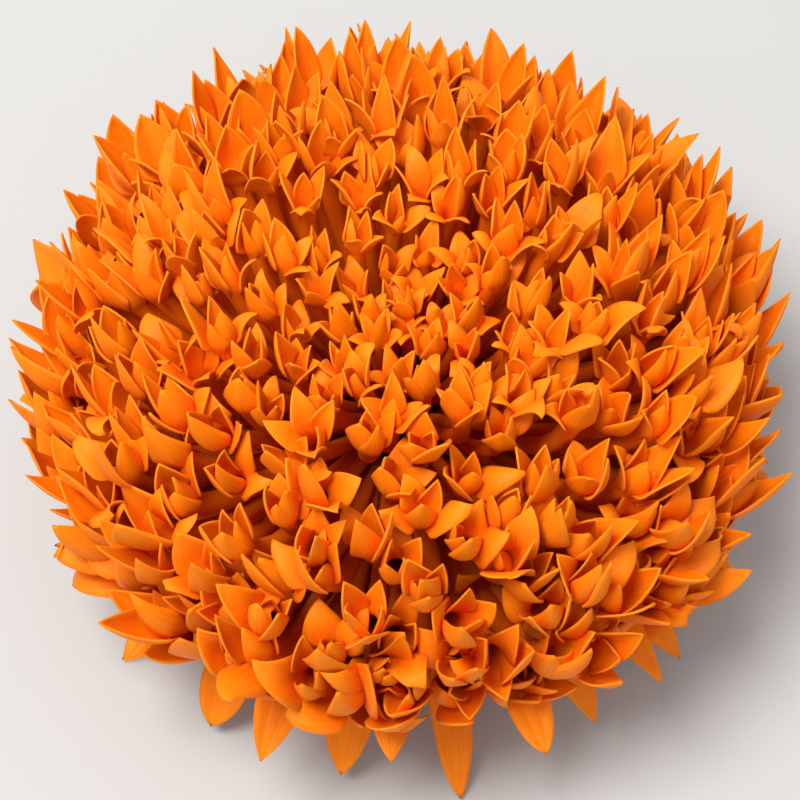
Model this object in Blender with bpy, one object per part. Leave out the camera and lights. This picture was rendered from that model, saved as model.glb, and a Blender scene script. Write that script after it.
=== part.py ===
"""Marigold flower head, fully double, picked just below its green cup and resting face up.

Metres, +Z up. The origin is on the surface the head rests on, below the middle of the head. The head
rests on the cut end of its stalk and on the tips of a few of its lowest ray florets.

Every floret grows from the domed receptacle at the top of the stalk, leaves through the mouth of the
cup, and ends on the dome of the head. Three curves in the (radius, height) plane say where: the
receptacle, the gate just above the mouth of the cup, and the dome. The first two are read at the same
share, 0 on the axis of the head and 1 at the outermost florets, so that neighbouring rows never cross.
"""

import math
import random

import bmesh
import bpy
from mathutils import Vector

MM = 0.001
GAP = 0.3 * MM  # between neighbouring pieces
SEED = 7

# Stalk and receptacle
STALK_RADIUS = 3.5 * MM
STALK_SIDES = 24
RECEPTACLE_RADIUS = 8.5 * MM
RECEPTACLE_RIM_HEIGHT = 12.5 * MM  # where the dome of the receptacle begins
RECEPTACLE_STEPS = 5
# How the stalk widens: (share of the way to the receptacle's radius, share of the rim's height)
STALK_PROFILE = ((0.0, 0.0), (0.0, 0.35), (0.22, 0.60), (0.60, 0.80))

# Cup: bracts grown together, with one tooth each
CUP_BRACTS = 10
CUP_STEPS_PER_BRACT = 4
CUP_BOTTOM_HEIGHT = 4.0 * MM
CUP_WALL = 1.0 * MM
CUP_RIB = 0.6 * MM  # how far the middle of a bract bulges
CUP_TOOTH = 3.2 * MM
CUP_SEAM_SHARE = 0.2  # height of the rim at a seam, as a share of a tooth

# Gate: where the florets leave the cup
GATE_RADIUS = 12.5 * MM
GATE_HEIGHT = 21.0 * MM
GATE_RISE = 8.0 * MM
GATE_ABOVE_CUP = 4.2 * MM  # from the cup's rim, without its teeth, up to the lowest florets

# Dome of the head: an ellipse with a shallow dimple at the top
DOME_RADIUS = 47.0 * MM
DOME_EQUATOR_HEIGHT = 27.5 * MM
DOME_RISE = 28.0 * MM
DOME_DROP = 19.0 * MM  # the lower half is flatter
DOME_LAST_ANGLE = math.radians(112)  # of the lowest florets, from the top
DOME_TURN_POWER = 1.5  # above 1, rows are closer together near the middle
DIMPLE_DEPTH = 8.0 * MM
DIMPLE_RADIUS = 14.0 * MM

# Quill florets: (at the middle of the head, at its rim)
QUILL_ROWS = 10
QUILL_SPACING = (3.2 * MM, 6.6 * MM)
QUILL_FEWEST = 5  # the middle row is one floret, with five lobes
QUILL_LOBE = (4.2 * MM, 8.5 * MM)
QUILL_LEAN = (math.radians(8), math.radians(112))  # of the lobes, from upright
QUILL_LENGTH_CHANGE = 0.12  # from floret to floret
BASE_CLEARANCE = 0.4 * MM  # above the receptacle
BASE_HALF_WALL = 0.3 * MM
GATE_HALF_WALL = 0.35 * MM
THROAT_HALF_WALL = (0.8 * MM, 1.45 * MM)  # at the middle of the head, at its rim
THROAT_CLEARANCE = 0.15 * MM  # between the middle floret's mouth and the axis
MOUTH_DEPTH_SHARE = 0.1  # how far the mouth of a floret is sunk, as a share of its lobes
INNER_LOBE_SHARE = 0.55  # inner lobes are shorter
# A floret, step by step around its row, from the notch on one side:
# (share of lobe length, share of half wall)
FLORET_STEPS = ((0.0, 0.4), (0.6, 0.85), (1.0, 1.0), (0.6, 0.85))

# Ray florets: the long straps of the two lowest rows
RAYS_PER_ROW = 17
RAY_STATIONS = 8
RAY_HALF_THICKNESS = 0.35 * MM
RAY_BASE_HALF_WIDTH = 0.6 * MM
RAY_HALF_WIDTH = 3.4 * MM
RAY_TIP_HALF_WIDTH = 0.25 * MM
RAY_WIDEST_POWER = 1.5  # above 1, the strap is widest past its middle
RAY_BASE_CLEARANCE = 0.55 * MM
RAY_BEND_RADIUS = 34.0 * MM
RAY_TURN_CHANGE = 0.08  # as a share of the step between rays
RAY_LIFT = 6.0 * MM  # the most that a ray's tip stays above the lowest place in its row
RESTING_RAY_STEP = 3  # in the lower row, every third ray rests on the surface
# Name, share on the curves, radius and height of the tip, height of the bend, turn as a share of a step
RAY_ROWS = (
    ("upper_ray_floret", 0.94, 49.5 * MM, 12.0 * MM, 25.0 * MM, 0.75),
    ("lower_ray_floret", 1.00, 46.5 * MM, 0.0 * MM, 21.4 * MM, 0.25),
)

COLOURS = {
    "orange_petal": ((0.90, 0.24, 0.004, 1.0), 0.55),
    "green_cup": ((0.13, 0.24, 0.035, 1.0), 0.6),
    "green_stalk": ((0.17, 0.27, 0.06, 1.0), 0.6),
}


def material(name):
    """The named Principled material, made the first time it is asked for."""
    found = bpy.data.materials.get(name)
    if found:
        return found
    made = bpy.data.materials.new(name)
    made.use_nodes = True
    colour, roughness = COLOURS[name]
    shader = made.node_tree.nodes["Principled BSDF"]
    shader.inputs["Base Color"].default_value = colour
    shader.inputs["Roughness"].default_value = roughness
    shader.inputs["Metallic"].default_value = 0.0
    return made


def bridge(mesh, first, second):
    """Faces between two rings of points. One ring may have a whole number of times the other's points."""
    if len(first) > len(second):
        first, second = second, first
    times = len(second) // len(first)
    for i, corner in enumerate(first):
        next_corner = first[(i + 1) % len(first)]
        fine = [second[(i * times + k) % len(second)] for k in range(times + 1)]
        if times == 1:
            mesh.faces.new((corner, next_corner, fine[1], fine[0]))
            continue
        middle = times // 2
        mesh.faces.new((corner, next_corner, fine[middle]))
        for k in range(times):
            near = corner if k < middle else next_corner
            mesh.faces.new((near, fine[k + 1], fine[k]))


def lofted(name, loops, closed, colour):
    """One object whose skin joins the loops of points in turn. A closed loft ends where it began.

    An open one is capped at both ends.
    """
    mesh = bmesh.new()
    rings = [[mesh.verts.new(point) for point in loop] for loop in loops]
    for first, second in zip(rings, rings[1:]):
        bridge(mesh, first, second)
    if closed:
        bridge(mesh, rings[-1], rings[0])
    else:
        mesh.faces.new(rings[0])
        mesh.faces.new(rings[-1])
    bmesh.ops.recalc_face_normals(mesh, faces=mesh.faces)
    if mesh.calc_volume(signed=True) < 0:
        bmesh.ops.reverse_faces(mesh, faces=mesh.faces)
    data = bpy.data.meshes.new(name)
    mesh.to_mesh(data)
    mesh.free()
    data.shade_smooth()
    data.set_sharp_from_angle(angle=math.radians(50))
    data.materials.append(material(colour))
    node = bpy.data.objects.new(name, data)
    bpy.context.scene.collection.objects.link(node)


def blend(first, second, share):
    return first + (second - first) * share


def around(place, angle):
    """The point of the (radius, height) plane turned to this angle about the head's axis."""
    return Vector((place.x * math.cos(angle), place.x * math.sin(angle), place.y))


def ring(place, angles):
    return [around(place, angle) for angle in angles]


def quarter_ellipse(share, radius, base_height, rise):
    turn = share * math.pi / 2
    return Vector((radius * math.sin(turn), base_height + rise * math.cos(turn)))


def receptacle_curve(share):
    return quarter_ellipse(share, RECEPTACLE_RADIUS, RECEPTACLE_RIM_HEIGHT, RECEPTACLE_RADIUS)


def gate_curve(share):
    return quarter_ellipse(share, GATE_RADIUS, GATE_HEIGHT, GATE_RISE)


def dome_curve(angle):
    """The point of the dome at an angle from its top."""
    rise = DOME_RISE if angle < math.pi / 2 else DOME_DROP
    point = Vector((DOME_RADIUS * math.sin(angle), DOME_EQUATOR_HEIGHT + rise * math.cos(angle)))
    point.y -= DIMPLE_DEPTH * math.exp(-((point.x / DIMPLE_RADIUS) ** 2))
    return point


def make_stalk():
    """Cut stub of the stalk, widening into the domed receptacle that carries every floret."""
    profile = []
    for wide, high in STALK_PROFILE:
        profile.append(Vector((blend(STALK_RADIUS, RECEPTACLE_RADIUS, wide), high * RECEPTACLE_RIM_HEIGHT)))
    for step in range(RECEPTACLE_STEPS):
        profile.append(receptacle_curve(1 - step / RECEPTACLE_STEPS))
    profile.append(receptacle_curve(0.25 / RECEPTACLE_STEPS))
    angles = [2 * math.pi * side / STALK_SIDES for side in range(STALK_SIDES)]
    lofted("stalk", [ring(place, angles) for place in profile], False, "green_stalk")


def make_cup():
    """Bell-shaped cup of fused bracts, open at the bottom for the stalk and at the top for the florets."""
    rim_height = GATE_HEIGHT - GATE_ABOVE_CUP
    inner = [
        Vector((STALK_RADIUS + GAP, CUP_BOTTOM_HEIGHT)),
        Vector((blend(STALK_RADIUS, RECEPTACLE_RADIUS, 0.45), 0.58 * RECEPTACLE_RIM_HEIGHT)),
        Vector((RECEPTACLE_RADIUS + 2 * GAP, 0.88 * RECEPTACLE_RIM_HEIGHT)),
        Vector((blend(RECEPTACLE_RADIUS, GATE_RADIUS, 0.5), blend(RECEPTACLE_RIM_HEIGHT, rim_height, 0.35))),
        Vector((GATE_RADIUS - GAP, rim_height)),
    ]
    steps = CUP_BRACTS * CUP_STEPS_PER_BRACT
    loops = []
    for step in range(steps):
        angle = 2 * math.pi * step / steps
        crest = 0.5 + 0.5 * math.cos(CUP_BRACTS * angle)  # 1 in the middle of a bract, 0 at a seam
        outer = []
        for level, place in enumerate(inner):
            bulge = CUP_WALL + CUP_RIB * crest * min(level, 2) / 2
            outer.append(place + Vector((bulge, 0)))
        tooth_height = rim_height + CUP_TOOTH * blend(CUP_SEAM_SHARE, 1, crest)
        tooth = Vector((GATE_RADIUS + CUP_WALL * blend(0.5, 1.2, crest), tooth_height))
        loops.append([around(place, angle) for place in [*inner, tooth, *reversed(outer)]])
    lofted("cup", loops, True, "green_cup")


def make_quill_row(row, chance):
    """One row of quill florets grown shoulder to shoulder, each a small cup of lobes on a narrow tube."""
    curve_share = (row + 0.5) / (QUILL_ROWS + 2)
    dome_share = (row + 0.35) / QUILL_ROWS
    turn = dome_share**DOME_TURN_POWER
    point = dome_curve(DOME_LAST_ANGLE * turn)
    upright = blend(*QUILL_LEAN, turn)
    lean = Vector((math.sin(upright), math.cos(upright)))
    side = Vector((lean.y, -lean.x))
    lobe = blend(*QUILL_LOBE, dome_share)
    half_wall = blend(*THROAT_HALF_WALL, dome_share)
    throat = point - lean * lobe
    throat.x = max(throat.x, half_wall + THROAT_CLEARANCE)
    gate = gate_curve(curve_share)
    base = receptacle_curve(curve_share)
    base_normal = (base - Vector((0, RECEPTACLE_RIM_HEIGHT))).normalized()
    base_side = Vector((base_normal.y, -base_normal.x))
    base += base_normal * BASE_CLEARANCE

    count = max(QUILL_FEWEST, round(2 * math.pi * point.x / blend(*QUILL_SPACING, dome_share)))
    steps = len(FLORET_STEPS)
    half_turn = math.pi / count * (row % 2)
    angles = [2 * math.pi * step / (count * steps) + half_turn for step in range(count * steps)]
    coarse = angles[::steps]
    fine = {"throat_in": [], "lobe_in": [], "mouth": [], "lobe_out": [], "throat_out": []}
    for floret in range(count):
        length = lobe * (1 + chance.uniform(-1, 1) * QUILL_LENGTH_CHANGE)
        for step, (lobe_share, wall_share) in enumerate(FLORET_STEPS):
            angle = angles[floret * steps + step]
            wall = side * half_wall * wall_share
            notch = lean * 2 * GAP
            inner_tip = throat - wall * 0.8 + lean * length * lobe_share * INNER_LOBE_SHARE + notch
            outer_tip = throat + wall + lean * length * lobe_share + notch
            fine["throat_in"].append(around(throat - wall, angle))
            fine["lobe_in"].append(around(inner_tip, angle))
            fine["mouth"].append(around(throat - lean * length * MOUTH_DEPTH_SHARE * lobe_share, angle))
            fine["lobe_out"].append(around(outer_tip, angle))
            fine["throat_out"].append(around(throat + wall, angle))
    loops = [
        ring(base - base_side * BASE_HALF_WALL, coarse),
        ring(gate - side * GATE_HALF_WALL, coarse),
        *fine.values(),
        ring(gate + side * GATE_HALF_WALL, coarse),
        ring(base + base_side * BASE_HALF_WALL, coarse),
    ]
    lofted(f"quill_floret_row_{row + 1:02d}", loops, True, "orange_petal")


def make_ray(name, share, angle, bend, tip):
    """One ray floret: a strap that arches over the cup's rim, widest past its middle, with a pointed tip."""
    gate = gate_curve(share)
    base = receptacle_curve(share) + Vector((RAY_BASE_CLEARANCE, RAY_BASE_CLEARANCE))
    path = [base, blend(base, gate, 0.5)]
    for station in range(RAY_STATIONS):
        along = station / (RAY_STATIONS - 1)
        path.append(gate * (1 - along) ** 2 + bend * 2 * along * (1 - along) + tip * along**2)
    across = Vector((-math.sin(angle), math.cos(angle), 0))
    loops = []
    for i, place in enumerate(path):
        along = max(0, i - 1) / (len(path) - 2)
        widening = math.sin(math.pi * along**RAY_WIDEST_POWER)
        half_width = across * blend(RAY_BASE_HALF_WIDTH, RAY_HALF_WIDTH, widening)
        heading = (path[min(i + 1, len(path) - 1)] - path[max(i - 1, 0)]).normalized()
        up = around(Vector((-heading.y, heading.x)), angle) * RAY_HALF_THICKNESS
        centre = around(place, angle)
        if place == tip:
            # A small blunt end, raised so that its lowest corner is at the height of the tip.
            half_width = across * RAY_TIP_HALF_WIDTH
            up *= RAY_TIP_HALF_WIDTH / RAY_HALF_THICKNESS
            centre.z += up.z
        loops.append([centre - half_width, centre - up, centre + half_width, centre + up])
    lofted(name, loops, False, "orange_petal")


def make_rays(chance):
    for row_name, share, tip_radius, tip_height, bend_height, turn in RAY_ROWS:
        for ray in range(RAYS_PER_ROW):
            change = chance.uniform(-1, 1) * RAY_TURN_CHANGE
            angle = 2 * math.pi * (ray + turn + change) / RAYS_PER_ROW
            resting = tip_height == 0 and ray % RESTING_RAY_STEP == 1
            lift = 0.0 if resting else chance.uniform(0.2, 1.0) * RAY_LIFT
            tip = Vector((tip_radius * chance.uniform(0.95, 1.02), tip_height + lift))
            make_ray(f"{row_name}_{ray + 1:02d}", share, angle, Vector((RAY_BEND_RADIUS, bend_height)), tip)


def centre_over_origin():
    """Moves every piece sideways until the middle of the head's box is above the origin."""
    pieces = list(bpy.context.scene.objects)
    corners = [vertex.co for piece in pieces for vertex in piece.data.vertices]
    middle_x = (min(c.x for c in corners) + max(c.x for c in corners)) / 2
    middle_y = (min(c.y for c in corners) + max(c.y for c in corners)) / 2
    for piece in pieces:
        piece.location = Vector((-middle_x, -middle_y, 0))


def main():
    for thing in list(bpy.data.objects):
        bpy.data.objects.remove(thing)
    chance = random.Random(SEED)
    make_stalk()
    make_cup()
    for row in range(QUILL_ROWS):
        make_quill_row(row, chance)
    make_rays(chance)
    centre_over_origin()


main()
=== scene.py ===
"""Looks of the marigold flower head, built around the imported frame. Metres, +Z up.

Each floret is a tube that widens into a mouth and splits into five pointed lobes. A lobe is a thin
curved sheet whose middle line bends away from the axis of its floret. The quill florets of one row make
one piece, which stands for that row of the frame. Each ray floret is a piece of its own, with one lobe
drawn out into a long strap.

The lobes are shaped one by one in a shuffled order. Several chance forms are tried for each, and the one is
kept that cuts through the fewest neighbours and hides the most of what is still open.
"""

import math
import random

import bpy
import numpy as np
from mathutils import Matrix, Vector
from mathutils.bvhtree import BVHTree


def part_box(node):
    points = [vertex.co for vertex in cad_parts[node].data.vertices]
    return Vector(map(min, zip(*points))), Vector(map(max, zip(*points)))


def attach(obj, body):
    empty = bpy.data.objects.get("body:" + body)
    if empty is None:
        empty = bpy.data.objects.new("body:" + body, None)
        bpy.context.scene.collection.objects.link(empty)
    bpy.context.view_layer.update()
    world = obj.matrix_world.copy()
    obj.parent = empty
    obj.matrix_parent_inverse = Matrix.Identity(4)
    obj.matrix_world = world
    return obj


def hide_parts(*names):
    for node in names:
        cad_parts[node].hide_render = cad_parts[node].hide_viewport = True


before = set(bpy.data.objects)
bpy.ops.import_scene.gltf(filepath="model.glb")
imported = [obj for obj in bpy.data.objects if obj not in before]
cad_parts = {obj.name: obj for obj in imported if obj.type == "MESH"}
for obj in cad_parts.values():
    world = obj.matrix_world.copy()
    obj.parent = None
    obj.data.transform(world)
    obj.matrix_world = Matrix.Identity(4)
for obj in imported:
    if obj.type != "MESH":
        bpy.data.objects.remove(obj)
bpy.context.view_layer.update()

MM = 0.001
SEED = 2024

# The frame's curves, in the (radius, height) plane: where the florets start on the receptacle, where they
# leave the cup, and the dome that their tips reach
RECEPTACLE_RADIUS = 8.5 * MM
RECEPTACLE_RIM_HEIGHT = 12.5 * MM
GATE_RADIUS = 12.5 * MM
GATE_HEIGHT = 21.0 * MM
GATE_RISE = 8.0 * MM
DOME_RADIUS = 47.0 * MM
DOME_EQUATOR_HEIGHT = 27.5 * MM
DOME_RISE = 28.0 * MM
DOME_DROP = 19.0 * MM
DOME_LAST_ANGLE = math.radians(112)
DOME_TURN_POWER = 1.5
DIMPLE_DEPTH = 9.5 * MM  # of the sunk middle, a little deeper than in the frame
DIMPLE_RADIUS = 14.0 * MM
QUILL_ROWS = 10
QUILL_SPACING = (3.2 * MM, 6.6 * MM)  # between neighbours in the first row and in the last
QUILL_LEAN = (math.radians(2), math.radians(96))  # from upright, in the middle and at the rim
LEAN_POWER = 1.3  # above 1, florets stand more upright than the dome under them
ROW_START = 0.35  # the first row starts this share of a row from the middle

# Chance in the place and the lean of a quill floret
PLACE_JITTER = 0.14  # rows
ANGLE_JITTER = 0.07  # radians
LEAN_JITTER = 12  # degrees
SIDEWAYS_JITTER = 14  # degrees
THROAT_DEPTHS = (0.55, 1.0)  # how far the throat is under the dome, in lobe lengths
MOUTH_SPREAD = (0.9, 1.1)
SLICE_SPREAD = (0.8, 1.2)  # of the shares of the mouth that the lobes take

# Quill florets: (in the middle of the head, at its rim)
LOBES = 5
SIZE_POWER = 0.95  # below 1, florets grow a little faster near the middle than near the rim
MOUTH_RADIUS = (0.65 * MM, 1.75 * MM)
LOBE_LENGTH = (3.9 * MM, 11.2 * MM)
LOBE_HALF_WIDTH = (1.25 * MM, 4.0 * MM)
PETAL_THICKNESS = 0.25 * MM
EDGE_THICKNESS_SHARE = 0.3
LIGHT_WAY = np.array((0.0, 0.6, 0.8))  # the florets and their lobes turn towards it
LIGHT_PULL = 0.32

# Tubes of the florets
MOUTH_SHARE = 0.2  # of the looks along a petal, the tube takes this share
TUBE_RADIUS = 0.5 * MM
TUBE_RINGS = 7
TUBE_STEPS = 32  # along its middle line
TUBE_HANDLE = 0.45  # the curve's handle at the throat, as a share of the distance from the bend
RING_POWER = 0.6  # below 1, the rings are closer to each other near the mouth
WIDEN_POWER = 1.25  # above 1, most of the widening is near the mouth

# Lobes: rows from the mouth to the tip, and columns across
LOBE_ROWS = 12
LOBE_COLUMNS = 8
LINE_STEPS = 24  # along the middle line
ROW_POWER = 0.92  # below 1, the rows are closer to each other near the tip
HOOK_START = 0.55  # the tip hooks from this share of the length on
HOOK_LENGTH = 0.45
OUTER_GROWTH = 0.17  # how much larger the lobes on the outer side are
FLATTEST_CUP = 1e-3  # half angle of the arc across a lobe; a flat lobe is a very wide arc

# How the three kinds of lobe are bent. Ranges of: flare and bend (degrees from the axis of the floret, at
# the mouth and at the tip), bend power, hook of the tip (degrees), and cup (half angle of the arc across)
UPRIGHT = ((4, 26), (-34, 18), (0.8, 1.3), (-18, 18), (0.35, 1.25))
SPREADING = ((4, 22), (35, 85), (1.2, 2.6), (-30, 25), (-0.3, 0.9))
CLAW = ((0, 16), (95, 165), (1.1, 2.6), (0, 30), (-0.95, 0.15))

# Ranges of the other features of a lobe
LENGTHS = (0.78, 1.16)
WIDTHS = (0.78, 1.12)
SWAYS = (-0.35, 0.35)
LIFTS = (0.1, 0.5)  # towards the light
RIM_LIFTS = (0.6, 1.3)  # added at the rim of the head
TWISTS = (-34, 34)  # degrees
WIDEST_PLACES = (0.24, 0.46)
TAPERS = (1.6, 3.0)
FOLDS = (-0.04, 0.24)
WAVES = (0.0, 0.12)
WAVE_COUNTS = (3, 7)
PHASES = (0, 6.28)

# Ray florets and their straps
RAY_BEND_RADIUS = 34.0 * MM
UPPER_RAY_BEND_HEIGHT = 25.0 * MM
LOWER_RAY_BEND_HEIGHT = 21.4 * MM
UPPER_RAY_START = 0.94  # share of the way from the middle of the receptacle to its rim
LOWER_RAY_START = 1.0
RAY_LIFT = 0.55 * MM  # outwards and up, to start on the receptacle's skin
RAY_STEPS = 60
RAY_SPLITS = (0.3, 0.42)  # share of the ray's length at which its tube opens
RAY_MOUTHS = (1.5, 1.9)  # mm
RAY_KIND_SHARE = 0.85  # leaves out the most clawed forms
STRAP_ROWS = 26
STRAP_COLUMNS = 12
STRAP_HALF_WIDTHS = (2.6, 3.7)  # mm
STRAP_TWISTS = (-22, 22)  # degrees
STRAP_WIDEST_PLACES = (0.2, 0.4)
STRAP_TAPERS = (4.0, 6.0, 9.0)
STRAP_CUPS = (-0.35, 0.5)
STRAP_FOLDS = (-0.03, 0.1)
STRAP_WAVES = (0.0, 0.1)
STRAP_PLEAT = 0.055
STRAP_PLEATS = 3 * math.pi

# Cup and stalk
CUP_BRACTS = 10
BRACT_COLUMNS = 26
CUP_WALL = 1.0 * MM
CUP_RIB = 0.6 * MM
CUP_TOOTH = 3.2 * MM
TOOTH_POWER = 6  # how steeply the rim rises into teeth
KEEL_HEIGHT = 0.28 * MM
SEAM_DEPTH = 0.22 * MM
GLAND_HEIGHT = 0.1 * MM
GLAND_LEVELS = 4
# Outline of the cup's inside, and of the stalk: (radius, height) in mm
CUP_OUTLINE = ((3.8, 4.0), (5.75, 7.25), (9.1, 11.0), (10.5, 14.0), (12.2, 16.8))
STALK_OUTLINE = ((3.5, 0.0), (3.5, 4.375), (4.6, 7.5), (6.5, 10.0), (8.5, 12.5))
# The cut end of the stalk, from its middle to its edge
CUT_OUTLINE = ((0.3, 0.22), (1.4, 0.2), (2.2, 0.08), (2.6, 0.02), (3.2, 0.0), (3.44, 0.04))
SKIN_RADIUS = 2.5  # mm; the skin of the stalk is further out than this
STALK_COLUMNS = 96
STALK_RIBS = 9
RECEPTACLE_RINGS = 12

# How the crowd of lobes is shaped
GOLDEN_TURN = math.pi * (3 - math.sqrt(5))
TRIES = 14
PASSES = 3
COVER_CENTRE_HEIGHT = 22.0 * MM
COVER_STEPS = 45  # cells in the radius of the sphere of directions
CUT_COST = 6.0
SECOND_LAYER_WORTH = 0.3  # of hiding what one sheet hides already
REDRAWN_KINDS = 0.22  # share of the tries that may bend the lobe in another way
SHRINK = 0.25  # the last try is smaller than the first by about this share
ROOT_ROWS = 3  # rows next to the mouth that always touch the neighbouring lobes
MOST_SHEETS = 4096  # room for every tube, strap and lobe

# Materials
BUMP_STRENGTH = 0.4
VEIN_TURNS = 44.0  # seven veins across a lobe, as an angle
MIX_FIRST, MIX_SECOND, MIX_RESULT = 6, 7, 2  # the colour sockets of a mix node

# Stage
FLOOR_HALF_SIZE = 2.0
FLOOR_HEIGHT = -0.1 * MM
SKY_COLOUR = (0.93, 0.97, 1.0, 1)
SKY_STRENGTH = 0.68
KEY_LIGHT_SIZE = 0.5
KEY_LIGHT_POWER = 10.6
KEY_LIGHT_PLACE = (-0.3, -0.1, 0.93)
KEY_LIGHT_AIM = (0, 0, 0.03)
CAMERA_ELEVATION = math.radians(60)
CAMERA_HALF_VIEW = math.radians(8.6)
CAMERA_AIM = (0, 0, 0.0205)
CAMERA_DISTANCE = 0.343
SENSOR_WIDTH = 36.0


def blend(first, second, share):
    return first + (second - first) * share


def unit(vector):
    return vector / np.linalg.norm(vector)


def quarter_ellipse(share, radius, base_height, rise):
    turn = share * math.pi / 2
    return np.array((radius * math.sin(turn), base_height + rise * math.cos(turn)))


def receptacle_curve(share):
    return quarter_ellipse(share, RECEPTACLE_RADIUS, RECEPTACLE_RIM_HEIGHT, RECEPTACLE_RADIUS)


def gate_curve(share):
    return quarter_ellipse(share, GATE_RADIUS, GATE_HEIGHT, GATE_RISE)


def dome_curve(angle):
    rise = DOME_RISE if angle < math.pi / 2 else DOME_DROP
    x = DOME_RADIUS * math.sin(angle)
    y = DOME_EQUATOR_HEIGHT + rise * math.cos(angle)
    return np.array((x, y - DIMPLE_DEPTH * math.exp(-((x / DIMPLE_RADIUS) ** 2))))


stalk_low, stalk_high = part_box("stalk")
AXIS = np.array(((stalk_low.x + stalk_high.x) / 2, (stalk_low.y + stalk_high.y) / 2, 0.0))


def around(place, angle):
    """The point of the (radius, height) plane turned to this angle about the head's axis."""
    return np.array((place[0] * math.cos(angle), place[0] * math.sin(angle), place[1])) + AXIS


class Sheets:
    """Gathers the thin sheets of one piece: points, faces, and the looks of each point.

    The looks of a petal are four numbers from 0 to 1: how far along it is from the base of the tube (up to
    MOUTH_SHARE) to the tip of the lobe, how far across, the floret's chance, and the lobe's chance.
    """

    def __init__(self):
        self.points = []
        self.faces = []
        self.looks = []
        self.count = 0

    def add(self, points, looks):
        first = self.count
        self.points.append(points)
        self.looks.append(looks)
        self.count += len(points)
        return first

    def build(self, name, material, thickness, replaces):
        data = bpy.data.meshes.new(name)
        data.from_pydata(np.concatenate(self.points).tolist(), [], self.faces)
        data.shade_smooth()
        attribute = data.attributes.new("petal", "FLOAT_COLOR", "POINT")
        attribute.data.foreach_set("color", np.concatenate(self.looks).astype(np.float32).ravel())
        data.materials.append(material)
        piece = bpy.data.objects.new(name, data)
        bpy.context.scene.collection.objects.link(piece)
        if thickness:
            solid = piece.modifiers.new("thickness", "SOLIDIFY")
            solid.thickness = thickness
            solid.offset = 0.0
            solid.use_quality_normals = True
            # Full thickness on the tube and in the middle of a lobe, thinner towards the lobe's edges
            solid.vertex_group = "middle"
            solid.thickness_vertex_group = EDGE_THICKNESS_SHARE
            group = piece.vertex_groups.new(name="middle")
            looks = np.concatenate(self.looks)
            from_middle = np.abs(2 * looks[:, 1] - 1)
            weights = np.round(1 - from_middle**3 * np.clip(looks[:, 0] / MOUTH_SHARE, 0, 1), 2)
            for weight in np.unique(weights):
                group.add(np.flatnonzero(weights == weight).tolist(), float(weight), "REPLACE")
        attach(piece, "root")
        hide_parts(replaces)
        return piece


def lobe_form(chance, kind, share, outer):
    """Chance form of one lobe of a floret, at this share of the way from the middle of the head to its rim.

    outer is 1 for the lobe on the side away from the middle of the head and -1 for the one nearest to it.
    Outer lobes are longer, and more of them stand up over the mouth. kind, from 0 to 1, says how the lobe
    is bent: upright and hollow like a shell, then spreading, then arched over like a claw.
    """
    size = 1.0 + OUTER_GROWTH * outer
    upright_share = 0.42 + 0.28 * outer + 0.08 * share
    claw_share = 0.35 - 0.16 * outer - 0.1 * share
    if kind < upright_share:
        bends = UPRIGHT
    elif kind < 1 - claw_share:
        bends = SPREADING
    else:
        bends = CLAW
    flare, bend, power, hook, cup = (chance.uniform(*limits) for limits in bends)
    return {
        "length": blend(*LOBE_LENGTH, share**SIZE_POWER) * size * chance.uniform(*LENGTHS),
        "width": blend(*LOBE_HALF_WIDTH, share**SIZE_POWER) * size * chance.uniform(*WIDTHS),
        "flare": math.radians(flare),
        "bend": math.radians(bend),
        "bend_power": power,
        "hook": math.radians(hook),
        "sway": chance.uniform(*SWAYS),
        "lift": chance.uniform(*LIFTS) + share * chance.uniform(*RIM_LIFTS),
        "twist": math.radians(chance.uniform(*TWISTS)),
        "widest": chance.uniform(*WIDEST_PLACES),
        "taper": chance.uniform(*TAPERS),
        "cup": cup,
        "fold": chance.uniform(*FOLDS),
        "wave": chance.uniform(*WAVES),
        "waves": chance.uniform(*WAVE_COUNTS),
        "phase": chance.uniform(*PHASES),
    }


def bent_line(throat, mouth, axis, outwards, across, form):
    """Middle line of a lobe and its heading, from the edge of the mouth to its tip."""
    share = np.linspace(0, 1, LINE_STEPS + 1)
    bend = form["flare"] + (form["bend"] - form["flare"]) * share ** form["bend_power"]
    bend = bend + form["hook"] * np.clip((share - HOOK_START) / HOOK_LENGTH, 0, 1) ** 2
    heading = np.outer(np.cos(bend), axis) + np.outer(np.sin(bend), outwards)
    heading = heading + np.outer(form["sway"] * share, across)
    heading = heading + np.outer(form["lift"] * share, LIGHT_WAY)
    heading /= np.linalg.norm(heading, axis=1)[:, None]
    moves = (heading[1:] + heading[:-1]) / 2 * form["length"] / LINE_STEPS
    middle = throat + outwards * mouth + np.vstack([np.zeros(3), np.cumsum(moves, axis=0)])
    return share, middle, heading


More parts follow.
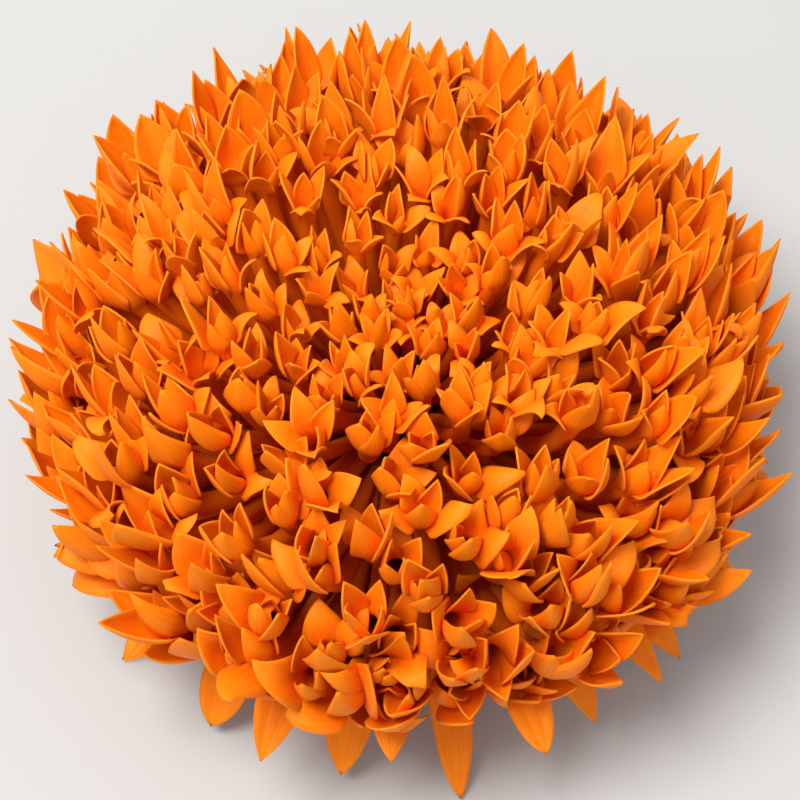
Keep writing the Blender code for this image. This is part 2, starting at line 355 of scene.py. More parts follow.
def lobe_grid(line, mouth, half_slice, outwards, across, form, rows, columns):
    """Points of a lobe, as rows from the edge of the mouth to the tip."""
    share, middle, heading = line
    at = np.linspace(0, 1, rows + 1) ** ROW_POWER
    centre = np.stack([np.interp(at, share, middle[:, k]) for k in range(3)], axis=1)
    way = np.stack([np.interp(at, share, heading[:, k]) for k in range(3)], axis=1)
    way /= np.linalg.norm(way, axis=1)[:, None]
    side = across - way * (way @ across)[:, None]
    side /= np.linalg.norm(side, axis=1)[:, None]
    inner = np.cross(way, side)
    if np.dot(inner[0], outwards) > 0:
        inner = -inner
    twist = (form["twist"] * at)[:, None]
    turned = side * np.cos(twist) + inner * np.sin(twist)
    inner = inner * np.cos(twist) - side * np.sin(twist)
    side = turned

    # The lobe starts as its slice of the round mouth and swells into its own width and cup.
    root = mouth * half_slice
    swell = np.clip(at / form["widest"], 0, 1)
    swell = swell * swell * (3 - 2 * swell)
    width = (root + (form["width"] - root) * swell) * (1 - at ** form["taper"])
    cup = half_slice + (form["cup"] - half_slice) * swell
    cup = np.where(np.abs(cup) < FLATTEST_CUP, FLATTEST_CUP, cup)
    u = np.linspace(-1, 1, columns + 1)
    angle = np.outer(cup, u)
    sideways = width[:, None] * np.sin(angle) / cup[:, None]
    inwards = width[:, None] * (1 - np.cos(angle)) / cup[:, None]
    keel = form["fold"] * (1 - np.abs(u)) ** 1.5
    ripple = form["wave"] * np.sin(at * form["waves"] + form["phase"])[:, None]
    ripple = ripple * (np.sign(u) * u * u)[None, :]
    pleat = form.get("pleat", 0.0) * np.cos(u * form.get("pleats", 0.0))
    inwards = inwards + width[:, None] * swell[:, None] * (ripple - keel[None, :] + pleat[None, :])
    grid = centre[:, None, :] + side[:, None, :] * sideways[:, :, None]
    grid = grid + inner[:, None, :] * inwards[:, :, None]
    return at, grid


def tree_of(grid):
    """The faces of a sheet, ready to be tested against other sheets."""
    rows, columns = grid.shape[:2]
    faces = []
    for i in range(rows - 1):
        for j in range(columns - 1):
            a = i * columns + j
            faces.append((a, a + 1, a + columns + 1, a + columns))
    return BVHTree.FromPolygons(grid.reshape(-1, 3).tolist(), faces)


class Crowd:
    """The sheets placed so far: what a new one would cut through, and what it would hide from outside."""

    def __init__(self):
        self.centres = np.zeros((MOST_SHEETS, 3))
        self.reaches = np.full(MOST_SHEETS, -1.0)  # below 0 where there is no sheet
        self.trees = {}
        self.layers = np.zeros((2 * COVER_STEPS + 3,) * 3, dtype=np.int16)
        self.cells = {}

    def cells_of(self, points):
        """Cells of the sphere of directions that the points are seen in from the middle of the head."""
        ways = points - AXIS - (0.0, 0.0, COVER_CENTRE_HEIGHT)
        ways = ways / np.linalg.norm(ways, axis=1)[:, None]
        keys = np.round(ways * COVER_STEPS).astype(int) + COVER_STEPS + 1
        return np.unique(np.ravel_multi_index(keys.T, self.layers.shape))

    def add(self, number, grid):
        points = grid.reshape(-1, 3)
        centre = (points.min(0) + points.max(0)) / 2
        self.centres[number] = centre
        self.reaches[number] = np.linalg.norm(points - centre, axis=1).max()
        self.trees[number] = tree_of(grid)
        self.cells[number] = self.cells_of(points)
        self.layers.flat[self.cells[number]] += 1

    def remove(self, number):
        self.reaches[number] = -1.0
        self.layers.flat[self.cells[number]] -= 1

    def cuts(self, grid):
        """How many pairs of faces cut each other, one of the sheet and one of what is placed."""
        points = grid.reshape(-1, 3)
        centre = (points.min(0) + points.max(0)) / 2
        reach = np.linalg.norm(points - centre, axis=1).max()
        apart = np.linalg.norm(self.centres - centre, axis=1)
        near = np.flatnonzero((apart < self.reaches + reach) & (self.reaches > 0))
        tree = tree_of(grid)
        return sum(len(tree.overlap(self.trees[number])) for number in near)

    def hides(self, grid):
        """How much of the still open part of the head the sheet would hide."""
        layers = self.layers.flat[self.cells_of(grid.reshape(-1, 3))]
        return np.count_nonzero(layers == 0) + SECOND_LAYER_WORTH * np.count_nonzero(layers == 1)


class Floret:
    """A floret: its tube, from its base past a bend to its throat, and the round mouth with its lobes."""

    def __init__(self, base, bend, throat, axis, mouth, first_angle, chance):
        self.axis = unit(axis)
        self.throat = throat
        self.mouth = mouth
        outwards = np.array((throat[0] - AXIS[0], throat[1] - AXIS[1], 0.0))
        if np.linalg.norm(outwards) < 1e-6:
            outwards = np.array((1.0, 0.0, 0.0))
        across = np.cross(self.axis, outwards)
        self.across = unit(across)
        self.outwards = np.cross(self.across, self.axis)
        self.base = base
        self.bend = bend
        self.chance = chance.random()
        self.lobes = [None] * LOBES  # (along, grid, chance)

        # Where each lobe is round the mouth, and half of its slice of it
        parts = np.array([chance.uniform(*SLICE_SPREAD) for _ in range(LOBES)])
        parts *= 2 * math.pi / parts.sum()
        self.half_slices = parts / 2
        self.angles = first_angle + np.cumsum(parts) - parts / 2 - parts[0] / 2

    def directions(self, angle):
        """Away from the floret's axis at this angle round the mouth, and along the edge of the mouth."""
        outwards = self.outwards * math.cos(angle) + self.across * math.sin(angle)
        across = self.across * math.cos(angle) - self.outwards * math.sin(angle)
        return outwards, across

    def tube(self, columns):
        """Rings of the tube from its base to its mouth, one point for each column of each lobe."""
        angles = []
        for angle, half_slice, count in zip(self.angles, self.half_slices, columns):
            angles.extend(angle - half_slice + 2 * half_slice * np.arange(count) / count)
        t = np.linspace(0, 1, TUBE_STEPS + 1)[:, None]
        handle = self.throat - self.axis * TUBE_HANDLE * np.linalg.norm(self.throat - self.bend)
        path = self.base * (1 - t) ** 3 + self.bend * 3 * t * (1 - t) ** 2
        path = path + handle * 3 * t**2 * (1 - t) + self.throat * t**3
        rings = []
        for i in range(TUBE_RINGS):
            share = (i / (TUBE_RINGS - 1)) ** RING_POWER
            spot = share * TUBE_STEPS
            k = min(TUBE_STEPS - 1, int(spot))
            centre = blend(path[k], path[k + 1], spot - k)
            way = unit(path[k + 1] - path[k]) if share < 1 else self.axis
            across = unit(self.across - way * np.dot(way, self.across))
            outwards = np.cross(across, way)
            radius = blend(TUBE_RADIUS, self.mouth, share**WIDEN_POWER)
            ring = [centre + radius * (outwards * math.cos(a) + across * math.sin(a)) for a in angles]
            rings.append(ring)
        return np.array(rings)

    def write(self, sheets):
        """Adds the floret's faces to its piece."""
        columns = [grid.shape[1] - 1 for _, grid, _ in self.lobes]
        rings = self.tube(columns)
        count = sum(columns)
        across = np.concatenate([np.arange(c) / c for c in columns])
        looks = np.zeros((TUBE_RINGS, count, 4))
        looks[:, :, 1] = across
        looks[:, :, 2] = self.chance
        looks[:, :, 3] = np.repeat([lobe_chance for _, _, lobe_chance in self.lobes], columns)
        looks[:, :, 0] = np.linspace(0, MOUTH_SHARE, TUBE_RINGS)[:, None]
        first = sheets.add(rings.reshape(-1, 3), looks.reshape(-1, 4))
        for i in range(TUBE_RINGS - 1):
            for j in range(count):
                a = first + i * count + j
                b = first + i * count + (j + 1) % count
                sheets.faces.append((a, b, b + count, a + count))
        # The lobes grow from the last ring, and their own first rows are left out.
        edge = first + (TUBE_RINGS - 1) * count
        start = 0
        for along, grid, lobe_chance in self.lobes:
            rows, wide = grid.shape[0], grid.shape[1]
            free = grid[1:-1]
            looks = np.zeros((rows - 2, wide, 4))
            looks[:, :, 0] = MOUTH_SHARE + (1 - MOUTH_SHARE) * along[1:-1, None]
            looks[:, :, 1] = np.linspace(0, 1, wide)
            looks[:, :, 2] = self.chance
            looks[:, :, 3] = lobe_chance
            body = sheets.add(free.reshape(-1, 3), looks.reshape(-1, 4))
            tip_point = grid[-1].mean(0)[None, :]
            tip = sheets.add(tip_point, np.array([[1.0, 0.5, self.chance, lobe_chance]]))
            for j in range(wide - 1):
                a = edge + (start + j) % count
                b = edge + (start + j + 1) % count
                sheets.faces.append((a, b, body + j + 1, body + j))
                for i in range(rows - 3):
                    c = body + i * wide + j
                    sheets.faces.append((c, c + 1, c + wide + 1, c + wide))
                last = body + (rows - 3) * wide + j
                sheets.faces.append((last, last + 1, tip))
            start += wide - 1


def quill_florets(chance):
    """Every quill floret from the middle outwards: its row, its share of the way to the rim, itself."""
    found = []
    number = 0
    for row in range(QUILL_ROWS):
        row_share = (row + ROW_START) / QUILL_ROWS
        row_point = dome_curve(DOME_LAST_ANGLE * row_share**DOME_TURN_POWER)
        count = max(5, round(2 * math.pi * row_point[0] / blend(*QUILL_SPACING, row_share)))
        if row == 0:
            count = 1
        for i in range(count):
            place = row + (i + 0.5) / count - 0.5 + chance.uniform(-PLACE_JITTER, PLACE_JITTER)
            if row == 0:
                place = 0.0
            share = min(0.97, max(0.02, (place + ROW_START) / QUILL_ROWS))
            turn = share**DOME_TURN_POWER
            angle = number * GOLDEN_TURN + chance.uniform(-ANGLE_JITTER, ANGLE_JITTER)
            point = dome_curve(DOME_LAST_ANGLE * turn)
            upright = blend(*QUILL_LEAN, turn**LEAN_POWER)
            upright = upright + math.radians(chance.uniform(-LEAN_JITTER, LEAN_JITTER))
            lean = around((math.sin(upright), math.cos(upright)), angle) - AXIS
            sideways = np.array((-math.sin(angle), math.cos(angle), 0.0))
            sway = math.tan(math.radians(chance.uniform(-SIDEWAYS_JITTER, SIDEWAYS_JITTER)))
            axis = unit(lean + sideways * sway + LIGHT_WAY * LIGHT_PULL)
            depth = blend(*LOBE_LENGTH, share**SIZE_POWER)
            throat = around(point, angle) - axis * depth * chance.uniform(*THROAT_DEPTHS)
            curve_share = min(0.88, max(0.03, (place + 0.5) / (QUILL_ROWS + 2)))
            base = around(receptacle_curve(curve_share), angle)
            gate = around(gate_curve(curve_share), angle)
            mouth = blend(*MOUTH_RADIUS, share**SIZE_POWER) * chance.uniform(*MOUTH_SPREAD)
            first_angle = chance.uniform(0, 2 * math.pi)
            floret = Floret(base, gate, throat, axis, mouth, first_angle, chance)
            found.append((row, share, floret))
            number += 1
    return found


class Growth:
    """One lobe still being shaped: it is grown again while it cuts through its neighbours."""

    def __init__(self, number, floret, lobe, form_of):
        self.number = number
        self.floret = floret
        self.lobe = lobe
        self.form_of = form_of
        self.cuts = None

    def grow(self, chance, crowd):
        """Tries a number of forms for the lobe, and keeps the best."""
        floret = self.floret
        half_slice = floret.half_slices[self.lobe]
        outwards, across = floret.directions(floret.angles[self.lobe])
        if self.cuts is not None:
            crowd.remove(self.number)
        best = None
        kind = chance.random()
        for attempt in range(TRIES):
            form = self.form_of(chance, chance.random() if chance.random() < REDRAWN_KINDS else kind)
            shrink = 1.0 - SHRINK * attempt / TRIES
            form["length"] *= shrink
            form["width"] *= shrink
            line = bent_line(floret.throat, floret.mouth, floret.axis, outwards, across, form)
            size = (LOBE_ROWS, LOBE_COLUMNS)
            along, grid = lobe_grid(line, floret.mouth, half_slice, outwards, across, form, *size)
            if grid[:, :, 2].min() < PETAL_THICKNESS:
                continue
            cuts = crowd.cuts(grid[ROOT_ROWS::2, ::2])
            score = cuts * CUT_COST - crowd.hides(grid[ROOT_ROWS:])
            if best is None or score < best[0]:
                best = (score, cuts, along, grid)
            if attempt > TRIES // 3 and best[1] == 0:
                break
        _, self.cuts, along, grid = best
        crowd.add(self.number, grid[ROOT_ROWS:])
        crowd.trees[self.number] = tree_of(grid[ROOT_ROWS::2, ::2])
        floret.lobes[self.lobe] = (along, grid, chance.random())


def make_strap(floret, path, chance):
    """The long lobe of a ray floret, from the lower side of the mouth to the tip of the frame's ray."""
    outwards, across = floret.directions(floret.angles[0])
    share = np.linspace(0, 1, len(path))
    heading = np.gradient(path, axis=0)
    heading /= np.linalg.norm(heading, axis=1)[:, None]
    # It is at the edge of the mouth first, and on the ray's own curve from its middle on.
    drop = floret.mouth * np.clip(1 - share / 0.5, 0, 1) ** 2
    middle = path + outwards * drop[:, None]
    form = {
        "width": blend(*STRAP_HALF_WIDTHS, chance.random()) * MM,
        "twist": math.radians(chance.uniform(*STRAP_TWISTS)),
        "widest": chance.uniform(*STRAP_WIDEST_PLACES),
        "taper": chance.choice(STRAP_TAPERS),
        "cup": chance.uniform(*STRAP_CUPS),
        "fold": chance.uniform(*STRAP_FOLDS),
        "wave": chance.uniform(*STRAP_WAVES),
        "waves": chance.uniform(*WAVE_COUNTS),
        "phase": chance.uniform(*PHASES),
        "pleat": STRAP_PLEAT,
        "pleats": STRAP_PLEATS,
    }
    line = (share, middle, heading)
    size = (STRAP_ROWS, STRAP_COLUMNS)
    return lobe_grid(line, floret.mouth, floret.half_slices[0], outwards, across, form, *size)


def ray_form(chance, kind):
    """Chance form of a short lobe of a ray floret, like the lobes of the outer quill florets."""
    return lobe_form(chance, RAY_KIND_SHARE * kind, chance.uniform(0.4, 1.0), chance.uniform(-0.6, 1))


def smooth_curve(outline, count):
    """Points, evenly shared out, of a smooth curve through an outline in millimetres."""
    places = np.array(outline) * MM
    ends = np.vstack([2 * places[0] - places[1], places, 2 * places[-1] - places[-2]])
    found = []
    for step in range(count):
        spot = step / (count - 1) * (len(places) - 1)
        k = min(len(places) - 2, int(spot))
        t = spot - k
        a, b, c, d = ends[k : k + 4]
        found.append(b + 0.5 * t * (c - a + t * (2 * a - 5 * b + 4 * c - d + t * (3 * (b - c) + d - a))))
    return np.array(found)


def turned_body(name, radii, heights, angles, looks, material, closed):
    """A body made of rings, with a radius, a height and looks at each angle.

    The last ring of a closed body joins the first. Otherwise both ends are flat.
    """
    rings, columns = radii.shape
    points = np.stack([radii * np.cos(angles), radii * np.sin(angles), heights], axis=2) + AXIS
    faces = []
    for i in range(rings if closed else rings - 1):
        for j in range(columns):
            below, above = i * columns, (i + 1) % rings * columns
            faces.append((below + j, below + (j + 1) % columns, above + (j + 1) % columns, above + j))
    if not closed:
        faces.append(tuple(reversed(range(columns))))
        faces.append(tuple(range((rings - 1) * columns, rings * columns)))
    sheets = Sheets()
    sheets.add(points.reshape(-1, 3), looks.reshape(-1, 4))
    sheets.faces = faces
    node = name.split("_")[0]
    sheets.build(name, material, 0.0, node)


def make_cup(material, chance):
    """Cup of grown-together bracts: each has a ridge down its middle, oil glands, and a tooth at the rim.

    The looks are how far up a point is, how far across its bract, how far from the seams, and its gland.
    """
    columns = CUP_BRACTS * BRACT_COLUMNS
    inner = smooth_curve(CUP_OUTLINE, 20)
    outer = smooth_curve(CUP_OUTLINE, 56)
    angles = 2 * math.pi * np.arange(columns) / columns
    turns = angles * CUP_BRACTS / (2 * math.pi) + 0.5
    across = turns % 1.0
    bract_of = np.floor(turns).astype(int) % CUP_BRACTS
    crest = 1 - np.abs(2 * across - 1)
    tooth = CUP_TOOTH * (0.2 + 0.8 * crest**1.3)
    glands = []
    for bract in range(CUP_BRACTS):
        for side in (0.24, 0.76):
            for level in range(GLAND_LEVELS):
                middle = side + chance.uniform(-0.05, 0.05)
                glands.append((bract, middle, 0.42 + 0.15 * level + chance.uniform(-0.04, 0.04)))
    radii, heights, looks = [], [], []

    def ring(radius, height, *shown):
        radii.append(radius)
        heights.append(height)
        row = np.zeros((columns, 4))
        for k, value in enumerate(shown):
            row[:, k] = value
        looks.append(row)

    # Up the outside, and down the inside again
    for i, place in enumerate(outer):
        up = i / (len(outer) - 1)
        bulge = CUP_RIB * min(1.0, up * 2.0) * (0.5 - 0.5 * np.cos(2 * math.pi * across))
        keel = KEEL_HEIGHT * np.exp(-(((across - 0.5) / 0.06) ** 2)) * min(1.0, up * 3)
        seam = -SEAM_DEPTH * np.exp(-((crest / 0.07) ** 2)) * min(1.0, up * 3)
        gland = np.zeros(columns)
        for bract, middle, level in glands:
            spot = np.exp(-(((across - middle) / 0.05) ** 2) - ((up - level) / 0.045) ** 2)
            gland = np.maximum(gland, np.where(bract_of == bract, spot, 0.0))
        radius = place[0] + CUP_WALL * 0.9 + bulge + keel + seam + GLAND_HEIGHT * gland
        ring(radius, place[1] + tooth * up**TOOTH_POWER, 0.9 * up, across, crest, gland)
    for i, place in enumerate(inner[::-1]):
        up = 1 - i / (len(inner) - 1)
        # The first ring makes the rounded edge of the rim.
        radius = np.full(columns, place[0]) + (0.45 * MM if i == 0 else 0.0)
        height = place[1] + tooth * up**TOOTH_POWER * (0.97 if i == 0 else 1.0)
        ring(radius, height, 0.95 * up, across, crest)
    parts = (np.array(radii), np.array(heights), angles, np.array(looks))
    turned_body("cup_of_bracts", *parts, material, True)


def make_stalk(material):
    """Stub of the stalk with shallow ribs and a pale cut end, widening into the domed receptacle.

    The looks are how far up a point is, where it is on the ribs, how strong they are, and the cut end.
    """
    angles = 2 * math.pi * np.arange(STALK_COLUMNS) / STALK_COLUMNS
    ribs = 0.5 + 0.5 * np.cos(STALK_RIBS * angles + 0.4 * np.sin(2 * angles))
    radii, heights, looks = [], [], []

    def ring(radius, height, rib, cut):
        radii.append(radius * (1 - 0.05 * rib * (1 - ribs)))
        heights.append(np.full(STALK_COLUMNS, height))
        row = np.zeros((STALK_COLUMNS, 4))
        row[:, 0], row[:, 1], row[:, 2], row[:, 3] = height / (21 * MM), ribs, rib, cut
        looks.append(row)

    for radius, height in CUT_OUTLINE:
        ring(radius * MM, height * MM, 1.0, 1.0 if radius > SKIN_RADIUS else 0.6)
    for place in smooth_curve(STALK_OUTLINE, 30)[1:]:
        ring(place[0], place[1], max(0.0, 1 - place[1] / (11 * MM)), 0.0)
    for step in range(1, RECEPTACLE_RINGS):
        place = receptacle_curve(1 - step / RECEPTACLE_RINGS)
        ring(place[0], place[1], 0.0, 0.0)
    ring(0.25 * MM, receptacle_curve(0.02)[1], 0.0, 0.0)
    parts = (np.array(radii), np.array(heights), angles, np.array(looks))
    turned_body("stalk_stub", *parts, material, False)


def ray_floret(node, chance):
    """The floret that stands for one ray node of the frame, and the way of its strap.

    Its tip is where the node's tip is.
    """
    points = np.array([v.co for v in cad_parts[node].data.vertices]) - AXIS
    radii = np.hypot(points[:, 0], points[:, 1])
    tip = points[radii.argmax()]
    angle = math.atan2(tip[1], tip[0])
    upper = node.startswith("upper")
    share = UPPER_RAY_START if upper else LOWER_RAY_START
    gate = gate_curve(share)
    bend = np.array((RAY_BEND_RADIUS, UPPER_RAY_BEND_HEIGHT if upper else LOWER_RAY_BEND_HEIGHT))
    end = np.array((radii.max(), tip[2] + PETAL_THICKNESS))
    t = np.linspace(0, 1, RAY_STEPS + 1)[:, None]
    flat = gate * (1 - t) ** 2 + bend * 2 * t * (1 - t) + end * t**2
    path = np.array([around(place, angle) for place in flat])
    split = int(round(RAY_STEPS * chance.uniform(*RAY_SPLITS)))
    axis = path[split + 1] - path[split - 1]
    mouth = chance.uniform(*RAY_MOUTHS) * MM
    base = around(receptacle_curve(share) + np.array((RAY_LIFT, RAY_LIFT)), angle)
    # The strap is the lobe on the lower side, which is half a turn from the side away from the middle.
    floret = Floret(base, around(gate, angle), path[split], axis, mouth, math.pi, chance)
    return floret, path[split:]


def quill_form(share, outer):
    return lambda chance, kind: lobe_form(chance, kind, share, outer)


def make_florets(material):
    """All the florets. Tubes and straps are placed first, and the lobes then grow into the gaps."""
    chance = random.Random(SEED)
    crowd = Crowd()
    quills = quill_florets(chance)
    nodes = [name for name in sorted(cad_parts) if "ray_floret" in name]
    rays = [(node, *ray_floret(node, chance)) for node in nodes]
    number = 0
    for _, _, floret in quills:
        # The upper end of the tube, coarse, is in the way of the others' lobes.
        crowd.add(number, floret.tube([4] * LOBES)[-3:, ::2])
        number += 1
    growths = []
    for _, floret, path in rays:
        along, grid = make_strap(floret, path, chance)
        floret.lobes[0] = (along, grid, chance.random())
        crowd.add(number, grid[4::2, ::3])
        number += 1
        for lobe in range(1, LOBES):
            growths.append(Growth(number, floret, lobe, ray_form))
            number += 1
    for _, share, floret in quills:
        for lobe in range(LOBES):
            form_of = quill_form(share, math.cos(floret.angles[lobe]))
            growths.append(Growth(number, floret, lobe, form_of))
            number += 1
    chance.shuffle(growths)
    for _ in range(PASSES):
        for growth in growths:
            if growth.cuts is None or growth.cuts > 0:
                growth.grow(chance, crowd)
    for row in range(QUILL_ROWS):
        sheets = Sheets()
        for floret_row, _, floret in quills:
            if floret_row == row:
                floret.write(sheets)
        node = f"quill_floret_row_{row + 1:02d}"
        sheets.build(f"florets_{row + 1:02d}", material, PETAL_THICKNESS, node)
    for node, floret, _ in rays:
        sheets = Sheets()
        floret.write(sheets)
        sheets.build(node.replace("floret", "petal"), material, PETAL_THICKNESS, node)


class Look:
    """A material under construction, with short names for the nodes it uses.

    place is where a point is in its object, in metres, and looks are the four numbers stored at it.
    """

    def __init__(self, name):
        self.material = bpy.data.materials.new(name)
        self.material.use_nodes = True
        self.nodes = self.material.node_tree.nodes
        self.links = self.material.node_tree.links
        self.shader = self.nodes["Principled BSDF"]
        self.place = self.nodes.new("ShaderNodeTexCoord").outputs["Object"]
        looks = self.nodes.new("ShaderNodeAttribute")
        looks.attribute_name = "petal"
        parts = self.nodes.new("ShaderNodeSeparateColor")
        self.links.new(looks.outputs["Color"], parts.inputs[0])
        self.looks = (*parts.outputs[:3], looks.outputs["Alpha"])

    def feed(self, socket, value):
        if isinstance(value, (int, float, tuple)):
            socket.default_value = value
        else:
            self.links.new(value, socket)

    def math(self, kind, first, second=0.0, clamp=False):
        made = self.nodes.new("ShaderNodeMath")
        made.operation = kind
        made.use_clamp = clamp
        self.feed(made.inputs[0], first)
        self.feed(made.inputs[1], second)
        return made.outputs[0]

    def steps(self, value, low, high):
        """0 where the value is under low, 1 where it is over high, and even in between."""
        return self.math("MULTIPLY", self.math("SUBTRACT", value, low), 1 / (high - low), clamp=True)

    def mix(self, share, first, second):
        """The first colour where the share is 0, the second where it is 1."""
        made = self.nodes.new("ShaderNodeMix")
        made.data_type = "RGBA"
        self.feed(made.inputs[0], share)
        self.feed(made.inputs[MIX_FIRST], first)
        self.feed(made.inputs[MIX_SECOND], second)
        return made.outputs[MIX_RESULT]

    def noise(self, scale, detail, stretch=(1.0, 1.0, 1.0)):
        made = self.nodes.new("ShaderNodeTexNoise")
        made.inputs["Scale"].default_value = scale
        made.inputs["Detail"].default_value = detail
        mapping = self.nodes.new("ShaderNodeMapping")
        mapping.inputs["Scale"].default_value = stretch
        self.links.new(self.place, mapping.inputs["Vector"])
        self.links.new(mapping.outputs[0], made.inputs["Vector"])
        return made.outputs["Fac"]

    def ramp(self, value, stops):
        """Colours along a value: stops are (value, colour)."""
        made = self.nodes.new("ShaderNodeValToRGB")
        self.links.new(value, made.inputs[0])
        while len(made.color_ramp.elements) < len(stops):
            made.color_ramp.elements.new(0.5)
        for element, (position, colour) in zip(made.color_ramp.elements, stops):
            element.position = position
            element.color = colour
        return made.outputs[0]

    def finish(self, colour, roughness, height, distance, **even):
        """Joins it all to the shader. even has the inputs that are the same all over."""
        self.links.new(colour, self.shader.inputs["Base Color"])
        self.feed(self.shader.inputs["Roughness"], roughness)
        bump = self.nodes.new("ShaderNodeBump")
        bump.inputs["Strength"].default_value = BUMP_STRENGTH
        bump.inputs["Distance"].default_value = distance
        self.links.new(height, bump.inputs["Height"])
        self.links.new(bump.outputs[0], self.shader.inputs["Normal"])
        for name, value in even.items():
            self.shader.inputs[name.replace("_", " ")].default_value = value
        return self.material


def petal_material():
    """Orange: redder and darker down the tubes, partly painted shade deep in the head, yellower at the
    tips, with fine veins, a paler edge painted as light through the thin petal, and a matte, velvety skin.
    """
    look = Look("petal_look")
    along, across, floret, lobe = look.looks
    # Painted shade in part: the colour grows darker and redder from the lobe tips down into the tubes,
    # which lie deep in the head.
    colour = look.ramp(
        along,
        (
            (0.0, (0.72, 0.065, 0.001, 1)),
            (0.2, (0.84, 0.13, 0.001, 1)),
            (0.5, (0.91, 0.18, 0.001, 1)),
            (1.0, (0.95, 0.235, 0.002, 1)),
        ),
    )
    # Each floret and each lobe is a little redder or yellower.
    tone = look.math("ADD", look.math("MULTIPLY", floret, 0.6), look.math("MULTIPLY", lobe, 0.4))
    colour = look.mix(look.math("MULTIPLY", tone, 0.35), colour, (0.98, 0.3, 0.004, 1))
    # Cloudy patches
    cloud = look.steps(look.noise(420.0, 3.0), 0.42, 1.1)
    colour = look.mix(look.math("MULTIPLY", cloud, 0.7), colour, (0.83, 0.13, 0.002, 1))
    # Veins run from the mouth to the tip.
    wobble = look.math("MULTIPLY", look.noise(900.0, 2.0), 0.9)
    veins = look.math("SINE", look.math("ADD", look.math("MULTIPLY", across, VEIN_TURNS), wobble))
    vein_share = look.math("MULTIPLY", look.steps(veins, -1.0, 1.0), 0.2)
    colour = look.mix(vein_share, colour, (0.74, 0.1, 0.002, 1))
    # Painted light: the very edge is paler, standing in for light shining through the thin edge of the
    # petal.
    edge = look.math("ABSOLUTE", look.math("SUBTRACT", look.math("MULTIPLY", across, 2.0), 1.0))
    painted_edge_light = look.steps(edge, 0.93, 1.0)
    on_lobe = look.steps(along, 0.24, 0.36)
    painted_edge_light = look.math("MULTIPLY", look.math("MULTIPLY", painted_edge_light, painted_edge_light), look.math("MULTIPLY", on_lobe, 0.28))
    colour = look.mix(painted_edge_light, colour, (1.0, 0.38, 0.03, 1))
    # The veins stand out a little from a finely grained skin.
    fine = look.noise(5200.0, 2.0)
    roughness = look.math("ADD", look.math("MULTIPLY", fine, 0.16), 0.46)
    height = look.math("ADD", look.math("MULTIPLY", veins, 0.35), look.math("MULTIPLY", fine, 0.6))
    return look.finish(
        colour,
        roughness,
        height,
        0.04 * MM,
        Specular_IOR_Level=0.14,
        Sheen_Weight=0.02,
        Sheen_Roughness=0.4,
        Sheen_Tint=(1.0, 0.6, 0.3, 1),
        Subsurface_Weight=0.05,
        Subsurface_Radius=(1.0, 0.28, 0.03),
        Subsurface_Scale=0.8 * MM,
    )


def cup_material():
    """Green with brownish teeth, dark seams and dark glands."""
    look = Look("cup_look")
    up, _, crest, gland = look.looks
    colour = look.ramp(
        up,
        (
            (0.0, (0.16, 0.22, 0.05, 1)),
            (0.35, (0.09, 0.17, 0.028, 1)),
            (0.85, (0.1, 0.15, 0.025, 1)),
            (0.95, (0.12, 0.07, 0.02, 1)),
        ),
    )
    streaks = look.noise(500.0, 4.0, (1.0, 1.0, 0.25))
    colour = look.mix(look.steps(streaks, 0.4, 0.75), colour, (0.14, 0.24, 0.05, 1))
    seam = look.math("SUBTRACT", 1.0, look.steps(crest, 0.0, 0.16))
    colour = look.mix(look.math("MULTIPLY", seam, 0.7), colour, (0.05, 0.09, 0.02, 1))
    colour = look.mix(look.steps(gland, 0.35, 0.7), colour, (0.045, 0.035, 0.008, 1))
    fine = look.noise(3000.0, 3.0)
    roughness = look.math("ADD", look.math("MULTIPLY", fine, 0.2), 0.4)
    return look.finish(colour, roughness, fine, 0.06 * MM, Specular_IOR_Level=0.35)


def stalk_material():
    """Striped green, paler on the ribs, yellow where the florets start, and pale at the cut end."""
    look = Look("stalk_look")
    up, rib, _, cut = look.looks
    stripes = look.noise(900.0, 3.0, (1.0, 1.0, 0.06))
    colour = look.mix(look.steps(stripes, 0.35, 0.7), (0.13, 0.2, 0.04, 1), (0.2, 0.29, 0.08, 1))
    colour = look.mix(look.math("MULTIPLY", look.steps(rib, 0.5, 1.0), 0.4), colour, (0.22, 0.3, 0.1, 1))
    colour = look.mix(look.steps(up, 0.5, 0.62), colour, (0.45, 0.3, 0.06, 1))
    # The cut end: its pith is pale, and the ring of skin round it is greener.
    colour = look.mix(look.steps(cut, 0.05, 0.5), colour, (0.5, 0.52, 0.3, 1))
    colour = look.mix(look.steps(cut, 0.65, 0.95), colour, (0.26, 0.32, 0.12, 1))
    fine = look.noise(2600.0, 3.0)
    roughness = look.math("ADD", look.math("MULTIPLY", fine, 0.2), 0.45)
    height = look.math("ADD", fine, stripes)
    return look.finish(colour, roughness, height, 0.08 * MM, Specular_IOR_Level=0.3)


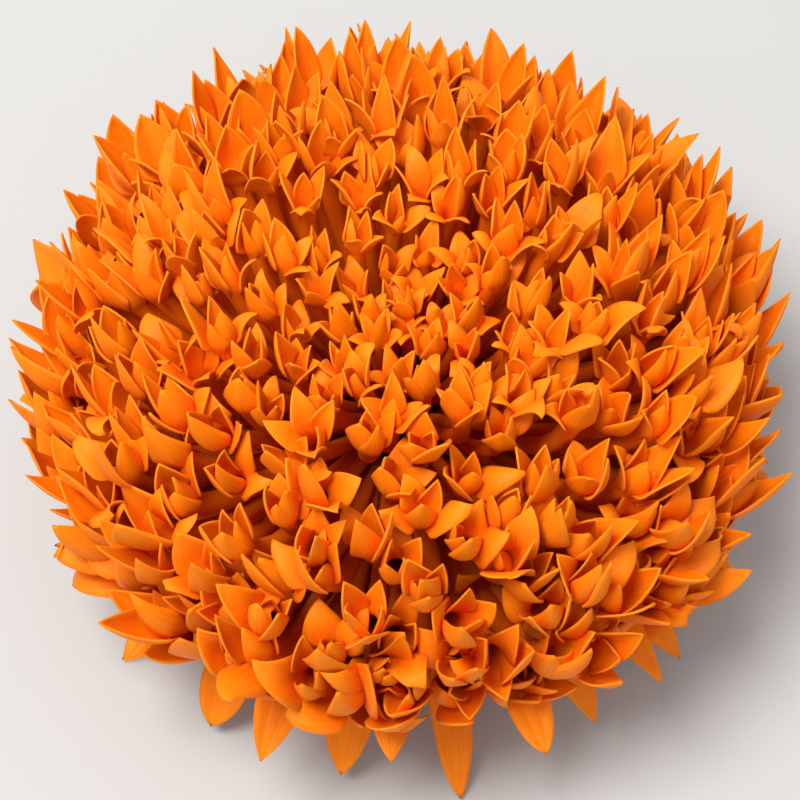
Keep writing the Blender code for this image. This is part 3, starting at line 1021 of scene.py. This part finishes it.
def make_stage():
    """A pale floor, an even sky, and one large soft lamp above the flower."""
    data = bpy.data.meshes.new("floor")
    half = FLOOR_HALF_SIZE
    corners = [(-half, -half, 0), (half, -half, 0), (half, half, 0), (-half, half, 0)]
    data.from_pydata(corners, [], [(0, 1, 2, 3)])
    floor = bpy.data.objects.new("floor", data)
    floor.location.z = FLOOR_HEIGHT
    bpy.context.scene.collection.objects.link(floor)
    look = Look("floor_look")
    colour = look.mix(look.noise(30.0, 2.0), (0.5, 0.49, 0.47, 1), (0.52, 0.51, 0.49, 1))
    data.materials.append(look.finish(colour, 0.9, look.noise(900.0, 2.0), 0.02 * MM))

    world = bpy.data.worlds.new("soft_sky")
    bpy.context.scene.world = world
    world.use_nodes = True
    sky = world.node_tree.nodes["Background"]
    sky.inputs["Color"].default_value = SKY_COLOUR
    sky.inputs["Strength"].default_value = SKY_STRENGTH

    light = bpy.data.lights.new("key_light", "AREA")
    light.shape = "DISK"
    light.size = KEY_LIGHT_SIZE
    light.energy = KEY_LIGHT_POWER
    holder = bpy.data.objects.new("key_light", light)
    holder.location = KEY_LIGHT_PLACE
    way = Vector(KEY_LIGHT_AIM) - Vector(KEY_LIGHT_PLACE)
    holder.rotation_euler = way.to_track_quat("-Z", "Y").to_euler()
    bpy.context.scene.collection.objects.link(holder)


def make_camera():
    data = bpy.data.cameras.new("camera")
    data.sensor_width = SENSOR_WIDTH
    data.lens = SENSOR_WIDTH / 2 / math.tan(CAMERA_HALF_VIEW)
    data.clip_start = 0.01
    camera = bpy.data.objects.new("camera", data)
    bpy.context.scene.collection.objects.link(camera)
    back = Vector((0, -math.cos(CAMERA_ELEVATION), math.sin(CAMERA_ELEVATION)))
    camera.location = Vector(CAMERA_AIM) + back * CAMERA_DISTANCE
    camera.rotation_euler = (-back).to_track_quat("-Z", "Y").to_euler()
    bpy.context.scene.camera = camera


make_florets(petal_material())
make_cup(cup_material(), random.Random(SEED + 1))
make_stalk(stalk_material())
make_stage()
make_camera()
bpy.context.scene.view_settings.view_transform = "Standard"
